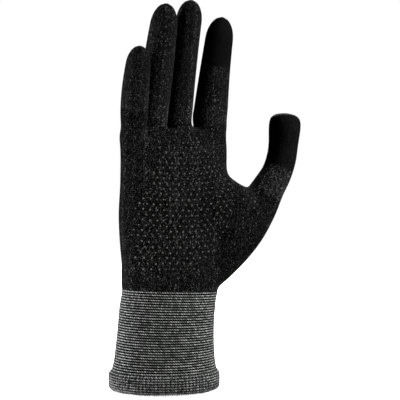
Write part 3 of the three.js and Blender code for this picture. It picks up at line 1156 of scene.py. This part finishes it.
def edge_stitches():
    """Slanted loops of thread over the lower edge, from outside to inside."""
    sides = 6
    verts, faces, tones = [], [], []
    for k in range(LOOPS):
        turn = 2 * math.pi * k / LOOPS
        steps = np.linspace(0, 1, 9)
        levels = np.interp(steps, *LOOP_HEIGHTS)
        out = np.interp(steps, *LOOP_OUT)
        angle = turn + LOOP_SLANT * steps
        path = []
        for level, away, at in zip(levels, out, angle):
            path.append(cuff_surface(np.array([level]), np.array([at]), np.array([[away]]))[0, 0])
        path = np.array(path)
        path[:, 2] += LOOP_UNEVEN * RNG.normal()
        tangent = unit(np.gradient(path, axis=0))
        side = unit(np.cross(tangent, unit(np.array([math.cos(turn), math.sin(turn), 0.3]))))
        other = np.cross(tangent, side)
        base = len(verts)
        for point, s, o in zip(path, side, other):
            for j in range(sides):
                a = j * 2 * math.pi / sides
                verts.append(point + THREAD_RADIUS * (s * math.cos(a) + o * math.sin(a)))
        faces += moved_on(tube_faces(len(path), sides), base)
        tones += [0.25 + 0.75 * (k % 2) * RNG.random() + 0.2 * RNG.random()] * (len(path) * sides)
    return make_object("edge_overlock", np.array(verts), faces, tone=np.array(tones))


def thread_material():
    """Twisted sewing thread in dark and light grey."""
    material, g = new_material("edge_thread")
    rest = g.attribute("rest")
    tone = g.attribute("tone", "Fac")
    fibre = g.noise(rest, 3.0, 3.0, 0.7)
    mixed = g.times(tone, g.add(0.6, g.times(fibre, 0.8)))
    colour = g.ramp(mixed, [(0.0, 0.003), (0.5, 0.02), (1.0, 0.12)])
    roughness = g.add(0.75, g.times(fibre, 0.15))
    g.surface(colour, roughness, g.bump(fibre, 0.0002, 0.7), sheen=0.1)
    return material


edge = edge_stitches()
edge.data.materials.append(thread_material())


# -------------------- bodies

def hinge_points(name, along, zone):
    """Start and end of the fabric that bends at a hinge, in metres."""
    centre, tangent, _, _ = limb_frame(name, along)
    start, end = centre - tangent * zone, centre + tangent * zone
    return tuple((start * MM).tolist()), tuple((end * MM).tolist())


for name, finger in FINGERS.items():
    chain = ["hand", f"{name}_base", f"{name}_middle", f"{name}_tip"]
    last = "index_touch_cap" if name == "index" else f"{name}_tube_tip"
    pieces = [f"{name}_tube_base", f"{name}_tube_middle", last]
    nodes = [[f"{name}_stall_base"], [f"{name}_stall_middle"], [f"{name}_stall_tip"]]
    if name == "index":
        nodes[2] = ["index_touch_band", "index_touch_tip"]
    for k, piece_name in enumerate(pieces):
        piece = skin_pieces[piece_name]
        start, end = hinge_points(name, finger["hinges"][k], finger["zones"][k])
        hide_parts(*nodes[k])
        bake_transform(piece, chain[k], chain[k + 1], start=start, end=end)

thumb_bends = (thumb_hinges[0], thumb_hinges[1] - THUMB_YARN_CHANGE + THUMB_ZONES[1])
for k, (piece_name, bodies, node) in enumerate((
        ("thumb_tube", ("hand", "thumb_base"), "thumb_stall"),
        ("thumb_touch_cap", ("thumb_base", "thumb_tip"), "thumb_touch_tip"))):
    piece = skin_pieces[piece_name]
    start, end = hinge_points("thumb", thumb_bends[k], THUMB_ZONES[k])
    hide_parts(node)
    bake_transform(piece, *bodies, start=start, end=end)

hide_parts("hand_body", "thumb_stall_root")
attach(skin_pieces["hand_tube"], "hand")
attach(dots, "hand")
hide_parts("cuff_sleeve")
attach(sleeve, "hand")
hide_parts("cuff_hem")
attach(hem, "hand")
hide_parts("cuff_edge_overlock")
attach(edge, "hand")


# -------------------- camera, light and floor

# In metres: the camera's distance, the height and place across that it looks at, and the width
# of what it sees.
VIEW_TURN = math.radians(25)
VIEW_DISTANCE = 0.7
VIEW_HEIGHT = 0.124
VIEW_ACROSS = 0.0238
FRAME_WIDTH = 0.264
FLOOR_HEIGHT = -0.0025

toward = Vector((-math.sin(VIEW_TURN), -math.cos(VIEW_TURN), 0))
rightward = Vector((math.cos(VIEW_TURN), -math.sin(VIEW_TURN), 0))
target = rightward * VIEW_ACROSS + Vector((0, 0, VIEW_HEIGHT))
camera_data = bpy.data.cameras.new("camera")
camera_data.sensor_width = 36
camera_data.lens = 36 * VIEW_DISTANCE / FRAME_WIDTH
camera = in_scene("camera", camera_data)
camera.location = target + toward * VIEW_DISTANCE
camera.rotation_euler = (-toward).to_track_quat("-Z", "Y").to_euler()
bpy.context.scene.camera = camera


def area_light(name, offset, width, height, power):
    """A soft box aimed at the glove, placed in the viewer's frame: right, near, up."""
    data = bpy.data.lights.new(name, "AREA")
    data.shape = "RECTANGLE"
    data.size = width
    data.size_y = height
    data.energy = power
    obj = in_scene(name, data)
    right, near, high = offset
    obj.location = target + rightward * right + toward * near + Vector((0, 0, high))
    obj.rotation_euler = (target - obj.location).to_track_quat("-Z", "Y").to_euler()


area_light("right", (0.88, 0.3, 0.5), 0.3, 0.6, 39)
area_light("left", (-1.05, 0.1, -0.25), 0.4, 0.5, 46)
area_light("front", (0.3, 0.9, -0.2), 0.6, 0.6, 1.0)
area_light("back", (0.1, -1.1, 0.6), 0.7, 0.7, 22)

world = bpy.data.worlds.new("studio")
world.use_nodes = True
backlight = world.node_tree.nodes["Background"].inputs
backlight[0].default_value = (1, 1, 1, 1)
backlight[1].default_value = 0.04
bpy.context.scene.world = world


def glowing(name, base, strength):
    """A matt surface that gives off white light, as a lit studio sweep does."""
    material, g = new_material(name)
    inputs = g.shader.inputs
    inputs["Base Color"].default_value = (base, base, base, 1)
    inputs["Roughness"].default_value = 0.9
    inputs["Emission Color"].default_value = (1, 1, 1, 1)
    inputs["Emission Strength"].default_value = strength
    return material


def stage_object(name, make, material):
    """A floor or backdrop that lights nothing."""
    bm = bmesh.new()
    make(bm)
    mesh = bpy.data.meshes.new(name)
    bm.to_mesh(mesh)
    bm.free()
    obj = in_scene(name, mesh)
    obj.data.materials.append(material)
    obj.visible_diffuse = obj.visible_glossy = obj.visible_shadow = False
    return obj


floor = stage_object("floor", lambda bm: bmesh.ops.create_circle(bm, cap_ends=True, segments=64, radius=2.5),
                     glowing("pale_floor", 0.85, 0.97))
floor.location.z = FLOOR_HEIGHT
stage_object("backdrop", lambda bm: bmesh.ops.create_icosphere(bm, subdivisions=4, radius=6.0),
             glowing("white_backdrop", 0.0, 1.0))
bpy.context.scene.view_settings.view_transform = "Standard"
